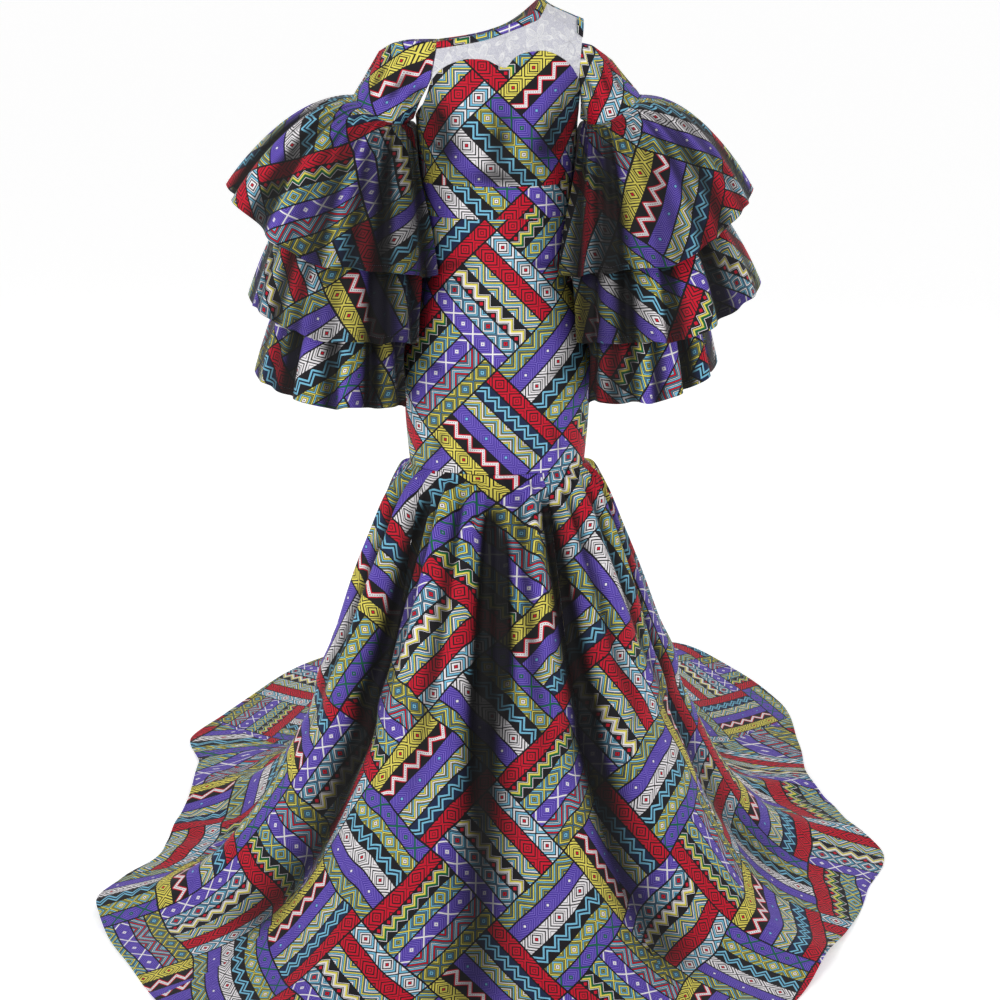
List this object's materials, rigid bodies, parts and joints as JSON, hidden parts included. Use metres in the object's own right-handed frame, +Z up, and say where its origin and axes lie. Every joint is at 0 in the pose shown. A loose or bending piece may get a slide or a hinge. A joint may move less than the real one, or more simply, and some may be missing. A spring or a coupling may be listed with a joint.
{
  "type": "wax print dress",
  "caption": "Hollow floor-length fitted dress with one shoulder strap, a lace yoke, tiered ruffle sleeves and a flared skirt with a train.",
  "frame": {"origin": "on the centre line between the shoulders, where the wearer holds the dress up", "axes": "+Z up, -Y to the front of the dress, +X to the wearer's left"},
  "size_m": [1.3438, 1.9098, 1.4619],
  "materials": {
    "wax_print": "printed wax cotton, plain weave, slight sheen",
    "white_lace": "white floral lace over a plain backing"
  },
  "bodies": {
    "root": {"armhole_binding": "wax_print", "band_back": "wax_print", "band_front": "wax_print", "bodice_back": "wax_print", "bodice_front": "wax_print", "body_back": "wax_print", "body_front": "wax_print", "neck_binding_back": "wax_print", "neck_binding_front": "wax_print", "ruffle_left_tier_1": "wax_print", "ruffle_left_tier_2": "wax_print", "ruffle_left_tier_3": "wax_print", "ruffle_right_tier_1": "wax_print", "ruffle_right_tier_2": "wax_print", "ruffle_right_tier_3": "wax_print", "shoulder_strap": "wax_print", "skirt_back": "wax_print", "skirt_front": "wax_print", "skirt_left": "wax_print", "skirt_right": "wax_print", "sleeve_left": "wax_print", "sleeve_right": "wax_print", "lace_yoke": "white_lace"}
  },
  "joints": []
}
